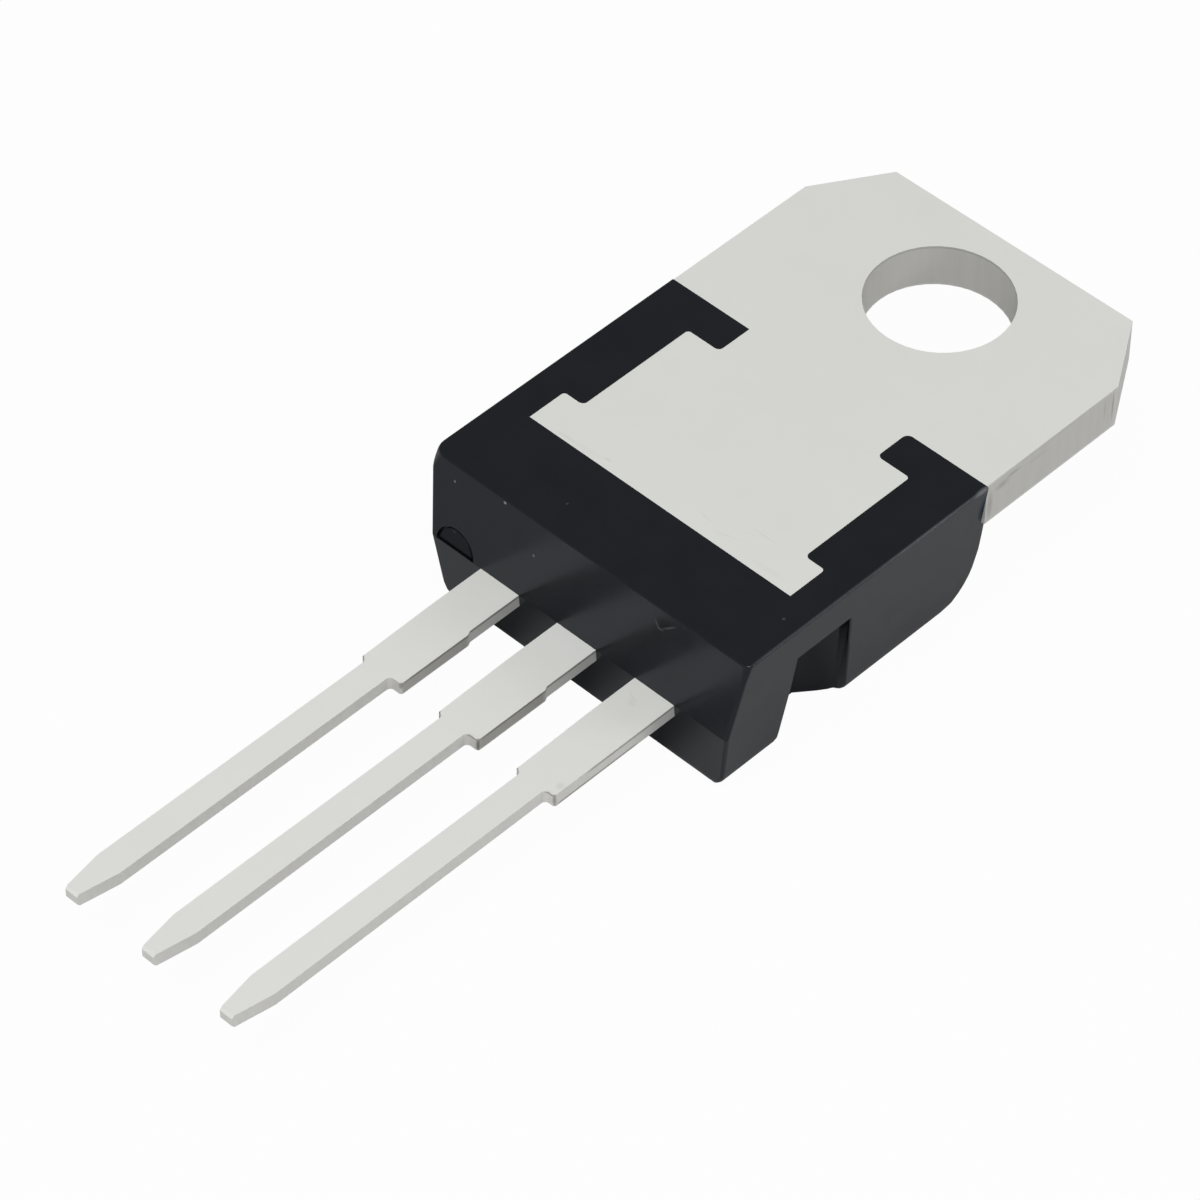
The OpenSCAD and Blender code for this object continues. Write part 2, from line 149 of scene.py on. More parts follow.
class Shades:
    """Builds one material's node tree, with coordinates in millimetres."""

    def __init__(self, name: str) -> None:
        """Makes the material with its shader and its coordinates.

        Args:
            name: The material's name.
        """
        self.material = bpy.data.materials.new(name)
        self.material.use_nodes = True
        self.tree = self.material.node_tree
        self.shader = self.tree.nodes["Principled BSDF"]
        self.coords = self.node("ShaderNodeTexCoord").outputs["Object"]
        self.mm = self.mapped((0.0, 0.0, 0.0), (MM, MM, MM))

    def node(self, kind: str) -> bpy.types.Node:
        """Returns a new node of that kind."""
        return self.tree.nodes.new(kind)

    def link(self, source: bpy.types.NodeSocket, target: bpy.types.NodeSocket) -> None:
        """Joins two sockets."""
        self.tree.links.new(source, target)

    def mapped(
        self, centre: Point, sizes: Point, turn: float = 0.0, tilt: float = 0.0
    ) -> bpy.types.NodeSocket:
        """Coordinates whose unit ball is an oval with that centre and those half sizes.

        Args:
            centre: The oval's middle, in metres.
            sizes: Its half sizes, in metres.
            turn: Its turn about the vertical, in degrees.
            tilt: How far its length rises from the level, in degrees.

        Returns:
            The socket with the coordinates.
        """
        mapping = self.node("ShaderNodeMapping")
        mapping.vector_type = "TEXTURE"
        mapping.inputs["Location"].default_value = centre
        mapping.inputs["Rotation"].default_value = (0.0, -math.radians(tilt), math.radians(turn))
        mapping.inputs["Scale"].default_value = sizes
        self.link(self.coords, mapping.inputs["Vector"])
        return mapping.outputs["Vector"]

    def stretched(self, sizes: Point) -> bpy.types.NodeSocket:
        """Millimetre coordinates divided by those sizes, for grain that runs one way."""
        return self.mapped((0.0, 0.0, 0.0), (MM * sizes[0], MM * sizes[1], MM * sizes[2]))

    def noise(
        self, grain: Grain, where: Optional[bpy.types.NodeSocket] = None
    ) -> bpy.types.NodeSocket:
        """A noise pattern.

        Args:
            grain: Its size.
            where: The coordinates, or None for plain millimetres.

        Returns:
            The socket with the noise, which stays near 0.5.
        """
        noise = self.node("ShaderNodeTexNoise")
        noise.inputs["Scale"].default_value = grain.scale
        noise.inputs["Detail"].default_value = grain.detail
        self.link(where or self.mm, noise.inputs["Vector"])
        return noise.outputs["Fac"]

    def ranged(
        self, value: bpy.types.NodeSocket, low: float, high: float, to_low: float, to_high: float
    ) -> bpy.types.NodeSocket:
        """Stretches a value from one range to another, and holds it there.

        Args:
            value: The value.
            low: Where the first range starts.
            high: Where it ends.
            to_low: What low becomes.
            to_high: What high becomes.

        Returns:
            The socket with the new value.
        """
        ranged = self.node("ShaderNodeMapRange")
        for name, number in (
            ("From Min", low),
            ("From Max", high),
            ("To Min", to_low),
            ("To Max", to_high),
        ):
            ranged.inputs[name].default_value = number
        self.link(value, ranged.inputs["Value"])
        return ranged.outputs["Result"]

    def varied(
        self, pattern: bpy.types.NodeSocket, low: float, high: float
    ) -> bpy.types.NodeSocket:
        """Stretches a noise pattern so that it runs from low to high."""
        return self.ranged(pattern, NOISE_LOW, NOISE_HIGH, low, high)

    def maths(
        self, kind: str, first: bpy.types.NodeSocket, second: bpy.types.NodeSocket | float
    ) -> bpy.types.NodeSocket:
        """One sum.

        Args:
            kind: The sum's name in Blender, such as MULTIPLY.
            first: Its first value.
            second: Its second value, a socket or a number.

        Returns:
            The socket with the result.
        """
        sum_node = self.node("ShaderNodeMath")
        sum_node.operation = kind
        self.link(first, sum_node.inputs[0])
        if isinstance(second, bpy.types.NodeSocket):
            self.link(second, sum_node.inputs[1])
        else:
            sum_node.inputs[1].default_value = second
        return sum_node.outputs[0]

    def mixed(
        self,
        factor: bpy.types.NodeSocket,
        first: bpy.types.NodeSocket | Colour,
        second: bpy.types.NodeSocket | Colour,
    ) -> bpy.types.NodeSocket:
        """Fades from one colour to another.

        Args:
            factor: 0 for the first colour and 1 for the second.
            first: A colour or a socket with one.
            second: A colour or a socket with one.

        Returns:
            The socket with the colour.
        """
        mix = self.node("ShaderNodeMix")
        mix.data_type = "RGBA"
        self.link(factor, mix.inputs[0])
        for socket, colour in ((mix.inputs[6], first), (mix.inputs[7], second)):
            if isinstance(colour, bpy.types.NodeSocket):
                self.link(colour, socket)
            else:
                socket.default_value = (*colour, 1.0)
        return mix.outputs[2]

    def upwards(self, height: float) -> bpy.types.NodeSocket:
        """1 above a height in millimetres and 0 below it."""
        split = self.node("ShaderNodeSeparateXYZ")
        self.link(self.mm, split.inputs[0])
        return self.ranged(split.outputs["Z"], height - CLIP_FADE, height, 0.0, 1.0)

    def cover(self, spot: Spot) -> bpy.types.NodeSocket:
        """How strongly a spot shows at each point, from 0 outside it."""
        centre = tuple(MM * v for v in spot.centre)
        half_sizes = tuple(MM * v for v in spot.half_sizes)
        where = self.mapped(centre, half_sizes, spot.turn, spot.tilt)
        if spot.shape is Shape.BOX:
            split = self.node("ShaderNodeSeparateXYZ")
            self.link(where, split.inputs[0])
            across, along, up = (
                self.maths("ABSOLUTE", split.outputs[axis], 0.0) for axis in "XYZ"
            )
            furthest = self.maths("MAXIMUM", self.maths("MAXIMUM", across, along), up)
            return self.ranged(furthest, BOX_CORE, 1.0, spot.strength, 0.0)
        ball = self.node("ShaderNodeTexGradient")
        ball.gradient_type = "SPHERICAL"
        self.link(where, ball.inputs["Vector"])
        fade = DISC_FADE if spot.shape is Shape.DISC else OVAL_FADE
        shown = self.ranged(ball.outputs["Fac"], 0.0, fade, 0.0, spot.strength)
        if spot.above < 0.0:
            return shown
        return self.maths("MULTIPLY", shown, self.upwards(spot.above))

    def disc(self, centre: Point, radius: float, soft: float) -> bpy.types.NodeSocket:
        """1 within a radius of a point and 0 outside it.

        Args:
            centre: The point, in millimetres.
            radius: The radius.
            soft: Width of the fade at the rim.

        Returns:
            The socket with the value.
        """
        ball = self.node("ShaderNodeTexGradient")
        ball.gradient_type = "SPHERICAL"
        size = radius * MM
        where = self.mapped(tuple(MM * v for v in centre), (size, size, size))
        self.link(where, ball.inputs["Vector"])
        return self.ranged(ball.outputs["Fac"], 0.0, soft / radius, 0.0, 1.0)

    def crescent(self, mark: Crescent) -> bpy.types.NodeSocket:
        """How strongly a crescent shows at each point."""
        middle = tuple(c + s for c, s in zip(mark.centre, mark.shift))
        inner = self.disc(middle, mark.radius, mark.inner_soft)
        outside = self.ranged(inner, 0.0, 1.0, mark.strength, 0.0)
        outer = self.disc(mark.centre, mark.radius, mark.outer_soft)
        whole = self.maths("MULTIPLY", outer, outside)
        return self.maths("MULTIPLY", whole, self.upwards(mark.above))

    def marked(
        self, colour: bpy.types.NodeSocket, spots: tuple[Spot, ...], dark: Colour, light: Colour
    ) -> bpy.types.NodeSocket:
        """Adds spots of wear and of painted light and shade to a colour.

        Args:
            colour: The socket with the clean colour.
            spots: The spots.
            dark: What a darker spot fades to.
            light: What a lighter spot fades to.

        Returns:
            The socket with the marked colour.
        """
        for spot in spots:
            target = dark if spot.side is Side.DARKER else light
            colour = self.mixed(self.cover(spot), colour, target)
        return colour

    def flatness(self, low: float, high: float) -> bpy.types.NodeSocket:
        """How far a face lies flat.

        Args:
            low: Upward share of the normal up to which a face is upright.
            high: Upward share from which it is flat.

        Returns:
            The socket with 0 on an upright face and 1 on a flat one.
        """
        geometry = self.node("ShaderNodeNewGeometry")
        split = self.node("ShaderNodeSeparateXYZ")
        self.link(geometry.outputs["Normal"], split.inputs[0])
        return self.ranged(self.maths("ABSOLUTE", split.outputs["Z"], 0.0), low, high, 0.0, 1.0)

    def bumped(self, heights: list[tuple[bpy.types.NodeSocket, float]]) -> None:
        """Roughens the surface.

        Args:
            heights: Patterns from 0 to 1, each with its full height in millimetres.
        """
        normal: Optional[bpy.types.NodeSocket] = None
        for value, height in heights:
            bump = self.node("ShaderNodeBump")
            bump.inputs["Distance"].default_value = height * MM
            self.link(value, bump.inputs["Height"])
            if normal is not None:
                self.link(normal, bump.inputs["Normal"])
            normal = bump.outputs["Normal"]
        self.link(normal, self.shader.inputs["Normal"])


@dataclass(frozen=True)
class TinPlate:
    """Matt tin plating, smooth on the rolled faces and with darker streaks on the sheared edges.

    Attributes:
        face: Colour of the rolled faces.
        patch: What that colour drifts to in broad clouds.
        edge: Colour of the sheared edges, set lighter than face as painted light on the upright
            sides.
        dark: What a darker mark fades to.
        light: What a lighter mark fades to.
        metallic: Share of the plating that mirrors as bare metal.
        face_rough: Roughness of the faces, give or take face_change.
        edge_rough: Roughness of the sheared edges, give or take edge_change.
        streak: How far the edges' pattern is stretched along each axis.
        streak_dark: How dark its streaks get.
        upright_below: Upward share of the normal up to which a face counts as sheared.
        flat_above: Upward share from which it counts as rolled.
        clouds: Pattern of the colour's drift.
        cloud_span: Values of that pattern between which the colour drifts.
        shear: Pattern of the edges' streaks, before they are stretched.
        dulling: Pattern of the roughness.
        fine: Pattern of the fine grain, fine_height high in millimetres.
        swell: Pattern of the broad waves, swell_height high.
        spots: Its marks.
    """

    face: Colour = (0.745, 0.752, 0.718)
    patch: Colour = (0.736, 0.741, 0.702)
    edge: Colour = (0.87, 0.865, 0.83)
    dark: Colour = (0.16, 0.15, 0.125)
    light: Colour = (0.93, 0.92, 0.93)
    metallic: float = 0.22
    face_rough: float = 0.55
    face_change: float = 0.02
    edge_rough: float = 0.42
    edge_change: float = 0.03
    streak: Point = (0.22, 0.22, 4.0)
    streak_dark: float = 0.06
    upright_below: float = 0.55
    flat_above: float = 0.9
    clouds: Grain = Grain(0.35, 4.0)
    cloud_span: tuple[float, float] = (0.35, 0.65)
    shear: Grain = Grain(1.0)
    dulling: Grain = Grain(2.2, 5.0)
    fine: Grain = Grain(14.0, 5.0)
    fine_height: float = 0.0008
    swell: Grain = Grain(0.6, 2.0)
    swell_height: float = 0.001
    spots: tuple[Spot, ...] = ()

    def material(self, name: str) -> bpy.types.Material:
        """Builds the plating's material under that name."""
        shades = Shades(name)
        shades.shader.inputs["Metallic"].default_value = self.metallic
        clouds = shades.ranged(shades.noise(self.clouds), *self.cloud_span, 0.0, 1.0)
        sheared = shades.noise(self.shear, shades.stretched(self.streak))
        flat = shades.flatness(self.upright_below, self.flat_above)
        face = shades.mixed(clouds, self.face, self.patch)
        edge = shades.mixed(shades.varied(sheared, 0.0, self.streak_dark), self.edge, self.dark)
        # Upright faces take the lighter edge colour, which is painted light on the sides; the
        # darker streaks are the sheared faces' own.
        colour = shades.mixed(flat, edge, face)
        marked = shades.marked(colour, self.spots, self.dark, self.light)
        shades.link(marked, shades.shader.inputs["Base Color"])
        face_rough = shades.varied(
            shades.noise(self.dulling),
            self.face_rough - self.face_change,
            self.face_rough + self.face_change,
        )
        edge_rough = shades.varied(
            sheared, self.edge_rough - self.edge_change, self.edge_rough + self.edge_change
        )
        blend = shades.node("ShaderNodeMix")
        shades.link(flat, blend.inputs[0])
        shades.link(edge_rough, blend.inputs[2])
        shades.link(face_rough, blend.inputs[3])
        shades.link(blend.outputs[0], shades.shader.inputs["Roughness"])
        fine = shades.noise(self.fine)
        shades.bumped([(fine, self.fine_height), (shades.noise(self.swell), self.swell_height)])
        return shades.material


@dataclass(frozen=True)
class MouldCompound:
    """Black filled epoxy with the fine, even grain of a spark-eroded mould.

    Its look comes from what it mirrors. A darker spot is a black metal, which mirrors almost
    nothing.

    Attributes:
        deep: Its darker tone.
        pale: Its paler tone.
        dark: What a darker mark fades to.
        light: What a lighter mark fades to.
        rough: Its roughness, from smoother below it to rougher above it.
        ior: Index of refraction.
        specular: Strength of its gloss.
        gloss_tint: Tint of its gloss.
        tones: Pattern of the two tones.
        dulling: Pattern of the roughness.
        fine: Pattern of the fine grain, fine_height high in millimetres.
        spots: Its marks.
        gate_rim_shade: Painted shade along the upper side of the gate mark's rim.
    """

    deep: Colour = (0.0075, 0.0079, 0.0092)
    pale: Colour = (0.0091, 0.0096, 0.0112)
    dark: Colour = (0.0, 0.0, 0.0)
    light: Colour = (0.32, 0.33, 0.34)
    rough: float = 0.20
    smoother: float = 0.03
    rougher: float = 0.04
    ior: float = 1.5
    specular: float = 0.385
    gloss_tint: Colour = (0.70, 0.80, 1.0)
    tones: Grain = Grain(0.8, 5.0)
    dulling: Grain = Grain(1.6, 5.0)
    fine: Grain = Grain(18.0, 4.0)
    fine_height: float = 0.0007
    spots: tuple[Spot, ...] = ()
    gate_rim_shade: Crescent = Crescent(
        centre=(-4.05, -0.80, 2.09),
        radius=0.62,
        shift=(-0.10, 0.0, -0.08),
        above=2.09,
        strength=0.95,
    )

    def material(self, name: str) -> bpy.types.Material:
        """Builds the moulding's material under that name."""
        shades = Shades(name)
        shades.shader.inputs["IOR"].default_value = self.ior
        shades.shader.inputs["Specular IOR Level"].default_value = self.specular
        shades.shader.inputs["Specular Tint"].default_value = (*self.gloss_tint, 1.0)
        tones = shades.varied(shades.noise(self.tones), 0.0, 1.0)
        colour = shades.mixed(tones, self.deep, self.pale)
        marked = shades.marked(colour, self.spots, self.dark, self.light)
        shades.link(marked, shades.shader.inputs["Base Color"])
        # The gate rim's painted shade and the darker marks become black metal, which mirrors
        # almost nothing.
        dull = shades.crescent(self.gate_rim_shade)
        for spot in self.spots:
            if spot.side is Side.DARKER:
                dull = shades.maths("MAXIMUM", dull, shades.cover(spot))
        shades.link(dull, shades.shader.inputs["Metallic"])
        rough = shades.varied(
            shades.noise(self.dulling), self.rough - self.smoother, self.rough + self.rougher
        )
        shades.link(rough, shades.shader.inputs["Roughness"])
        shades.bumped([(shades.noise(self.fine), self.fine_height)])
        return shades.material


@dataclass(frozen=True)
class Silicon:
    """Dark polished silicon with a faint trace of its metal layer's grid."""

    deep: Colour = (0.05, 0.055, 0.08)
    pale: Colour = (0.11, 0.12, 0.16)
    lines: Colour = (0.4, 0.4, 0.42)
    grid_scale: float = 6.0
    line_width: float = 0.03
    smoothest: float = 0.12
    roughest: float = 0.24
    dulling: Grain = Grain(5.0)

    def material(self, name: str) -> bpy.types.Material:
        """Builds the chip's material under that name."""
        shades = Shades(name)
        grid = shades.node("ShaderNodeTexBrick")
        grid.offset = 0.0
        grid.inputs["Scale"].default_value = self.grid_scale
        grid.inputs["Mortar Size"].default_value = self.line_width
        grid.inputs["Color1"].default_value = (*self.deep, 1.0)
        grid.inputs["Color2"].default_value = (*self.pale, 1.0)
        grid.inputs["Mortar"].default_value = (*self.lines, 1.0)
        shades.link(shades.mm, grid.inputs["Vector"])
        shades.link(grid.outputs["Color"], shades.shader.inputs["Base Color"])
        rough = shades.varied(shades.noise(self.dulling), self.smoothest, self.roughest)
        shades.link(rough, shades.shader.inputs["Roughness"])
        return shades.material


@dataclass(frozen=True)
class SoftMetal:
    """Solder or drawn wire: a grey metal with fine grain."""

    pale: Colour
    deep: Colour
    rough: float
    fine_height: float
    smoother: float = 0.05
    rougher: float = 0.1
    tones: Grain = Grain(4.0, 4.0)
    dulling: Grain = Grain(9.0)
    fine: Grain = Grain(24.0)

    def material(self, name: str) -> bpy.types.Material:
        """Builds the metal's material under that name."""
        shades = Shades(name)
        shades.shader.inputs["Metallic"].default_value = 1.0
        tones = shades.varied(shades.noise(self.tones), 0.0, 1.0)
        shades.link(shades.mixed(tones, self.pale, self.deep), shades.shader.inputs["Base Color"])
        rough = shades.varied(
            shades.noise(self.dulling), self.rough - self.smoother, self.rough + self.rougher
        )
        shades.link(rough, shades.shader.inputs["Roughness"])
        shades.bumped([(shades.noise(self.fine), self.fine_height)])
        return shades.material


@dataclass(frozen=True)
class EdgeWork:
    """How a piece's edges are softened.

    Attributes:
        radius: Rounding of the edges, in millimetres.
        segments: Number of facets across a rounding.
        sharp: Angle from which an edge counts as one, in degrees.
        rounding_step: The same for the edges of the roundings.
        wanted: Says from an edge's middle, in millimetres, whether it is rounded.
        creased: Says from an edge's two ends, in millimetres, whether it stays crisp though blunt.
        merge: Distance within which points become one, in millimetres.
        flat: Angle up to which neighbouring faces are one plane, in degrees.
        weight: How much more a large face counts than a small one in the shading.
    """

    radius: float
    wanted: Callable[[Vector], bool]
    segments: int = 2
    sharp: float = 30.0
    rounding_step: float = 52.0
    creased: Callable[[Vector, Vector], bool] = lambda first, second: False
    merge: float = 0.0005
    flat: float = 0.4
    weight: int = 80


def softened(node: bpy.types.Object, name: str, work: EdgeWork) -> bpy.types.Object:
    """Makes a copy of a CAD node with softened edges, which stands for the node.

    The work is done in millimetres, because the weights of the normals vanish on faces that are
    tiny in metres.

    Args:
        node: The CAD node, which isn't changed.
        name: The new piece's name.
        work: How its edges are softened.

    Returns:
        The new piece, in the node's place.
    """
    bm = bmesh.new()
    bm.from_mesh(node.data)
    bmesh.ops.scale(bm, vec=(1.0 / MM, 1.0 / MM, 1.0 / MM), verts=bm.verts)
    bmesh.ops.remove_doubles(bm, verts=bm.verts, dist=work.merge)
    bmesh.ops.dissolve_limit(
        bm,
        angle_limit=math.radians(work.flat),
        use_dissolve_boundaries=False,
        verts=bm.verts,
        edges=bm.edges,
    )
    chosen = [
        edge
        for edge in bm.edges
        if edge.is_manifold
        and edge.is_convex
        and edge.calc_face_angle(0.0) > math.radians(work.sharp)
        and work.wanted((edge.verts[0].co + edge.verts[1].co) / 2.0)
    ]
    rounded: set[bmesh.types.BMEdge] = set()
    if chosen:
        made = bmesh.ops.bevel(
            bm,
            geom=chosen,
            offset=work.radius,
            offset_type="OFFSET",
            segments=work.segments,
            profile=0.5,
            affect="EDGES",
            clamp_overlap=True,
        )
        rounded = {edge for face in made["faces"] for edge in face.edges}
    for face in bm.faces:
        face.smooth = True
    for edge in bm.edges:
        limit = work.rounding_step if edge in rounded else work.sharp
        blunt = edge.calc_face_angle(0.0) < math.radians(limit)
        edge.smooth = blunt and not work.creased(edge.verts[0].co, edge.verts[1].co)
    rough = bpy.data.meshes.new("unweighted")
    bm.to_mesh(rough)
    bm.free()
    piece = bpy.data.objects.new(name, rough)
    bpy.context.scene.collection.objects.link(piece)
    weighted = piece.modifiers.new("even shading", "WEIGHTED_NORMAL")
    weighted.keep_sharp = True
    weighted.weight = work.weight
    weighted.thresh = 0.0
    depsgraph = bpy.context.evaluated_depsgraph_get()
    mesh = bpy.data.meshes.new_from_object(piece.evaluated_get(depsgraph))
    mesh.name = name
    mesh.transform(Matrix.Scale(MM, 4))
    piece.modifiers.clear()
    piece.data = mesh
    bpy.data.meshes.remove(rough)
    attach(piece, "root")
    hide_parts(node.name)
    return piece


def painted(piece: bpy.types.Object, material: bpy.types.Material) -> None:
    """Gives a piece one material all over."""
    piece.data.materials.clear()
    piece.data.materials.append(material)


@dataclass
class Moulding:
    """The black epoxy body.

    Attributes:
        nodes: The CAD nodes by name.
        half_width: Half the body's width at the parting line, in millimetres as all below.
        lead_end: Where the heat-sink face ends towards the leads.
        seam: Where that face meets the tab.
        top: Height of the heat-sink face.
        parting: Height of the parting line.
        rim_reach: How far in from the outline an edge still belongs to the rim.
        rim_depth: How far below the heat-sink face it still does.
        seam_gap: How far from the seam the rounding stops.
        line_near: How close to the parting line an edge has to lie.
        line_reach: How far beyond the lead end that line lies at least.
        pocket_top: Height of the pockets' upper edge.
        pocket_from: Distance from the middle at which the pockets start.
        pocket_span: Where they start and end along the body.
        edge_r: Rounding of the edges.
        finish: Its finish with its marks.
    """

    nodes: dict[str, bpy.types.Object]
    half_width: float = 5.15
    lead_end: float = -0.485
    seam: float = 7.785
    top: float = 4.5
    parting: float = 2.09
    rim_reach: float = 0.5
    rim_depth: float = 0.01
    seam_gap: float = 0.1
    line_near: float = 0.002
    line_reach: float = 0.2
    pocket_top: float = 3.6
    pocket_from: float = 3.3
    pocket_span: tuple[float, float] = (1.0, 4.0)
    edge_r: float = 0.05
    finish: MouldCompound = MouldCompound(
        spots=(
            # Specks of dust
            Spot((-4.30, -0.557, 4.02), (0.045, 0.05, 0.05), side=Side.LIGHTER, strength=0.5),
            Spot((-2.68, -0.500, 4.40), (0.055, 0.06, 0.05), side=Side.LIGHTER, strength=0.9),
            Spot((-1.61, -0.637, 3.49), (0.045, 0.05, 0.06), side=Side.LIGHTER, strength=0.35),
            Spot((-1.55, 0.437, 4.5), (0.04, 0.05, 0.05), side=Side.LIGHTER, strength=0.10),
            Spot((4.62, 1.25, 4.5), (0.05, 0.06, 0.05), side=Side.LIGHTER, strength=0.12),
            # The gate mark's half disc, made darker, and painted glints on its stub
            Spot(
                (-4.05, -0.80, 2.09),
                (0.62, 0.62, 0.62),
                above=2.09,
                shape=Shape.DISC,
                strength=0.42,
            ),
            Spot((-4.17, -0.78, 2.55), (0.08, 0.10, 0.06), side=Side.LIGHTER, strength=0.14),
            Spot(
                (-3.78, -0.78, 2.49),
                (0.17, 0.10, 0.04),
                tilt=-42.0,
                side=Side.LIGHTER,
                strength=0.08,
            ),
            # The round mark below the lead end's upper edge: painted highlight along its rim, and
            # a darker patch
            Spot(
                (2.70, -0.57, 4.12),
                (0.34, 0.10, 0.045),
                tilt=38.0,
                side=Side.LIGHTER,
                strength=0.20,
            ),
            Spot(
                (2.32, -0.59, 4.01),
                (0.19, 0.10, 0.045),
                tilt=-52.0,
                side=Side.LIGHTER,
                strength=0.20,
            ),
            Spot((2.45, -0.59, 3.92), (0.12, 0.10, 0.040), side=Side.LIGHTER, strength=0.16),
            Spot((2.50, -0.56, 4.12), (0.34, 0.15, 0.22), tilt=30.0, strength=0.30),
            # Painted highlight along the upper edge on the +X side, brightest on the corner at the
            # nose
            Spot(
                (5.13, 3.80, 4.490),
                (0.06, 4.30, 0.04),
                shape=Shape.BOX,
                side=Side.LIGHTER,
                strength=0.08,
            ),
            Spot((5.13, 5.60, 4.480), (0.06, 2.30, 0.05), side=Side.LIGHTER, strength=0.10),
            Spot((5.12, 7.60, 4.455), (0.12, 0.38, 0.065), side=Side.LIGHTER, strength=0.50),
            # The dark streak under that corner
            Spot((5.08, 7.76, 3.78), (0.30, 0.23, 0.52), strength=0.92),
        )
    )

    def is_outer_edge(self, middle: Vector) -> bool:
        """Says whether an edge belongs to the body's outside and not to a seam or a cavity.

        Args:
            middle: The edge's middle, in millimetres.

        Returns:
            True for the rim of the heat-sink face and for the pockets' rims.
        """
        near_side = abs(middle.x) > self.half_width - self.rim_reach
        near_end = middle.y < self.lead_end + self.rim_reach
        rim = middle.z > self.top - self.rim_depth and (near_side or near_end)
        from_y, to_y = self.pocket_span
        pocket = (
            middle.z < self.pocket_top
            and abs(middle.x) > self.pocket_from
            and from_y < middle.y < to_y
        )
        return (rim or pocket) and middle.y < self.seam - self.seam_gap

    def is_parting_line(self, first: Vector, second: Vector) -> bool:
        """Says whether an edge between two points lies along the parting line of the lead end."""
        return all(
            abs(end.z - self.parting) < self.line_near and end.y < self.lead_end - self.line_reach
            for end in (first, second)
        )

    def build(self) -> bpy.types.Object:
        """Makes the softened and dressed body."""
        work = EdgeWork(self.edge_r, self.is_outer_edge, creased=self.is_parting_line)
        body = softened(self.nodes["moulded_body"], "dressed_body", work)
        painted(body, self.finish.material("black moulding compound"))
        return body


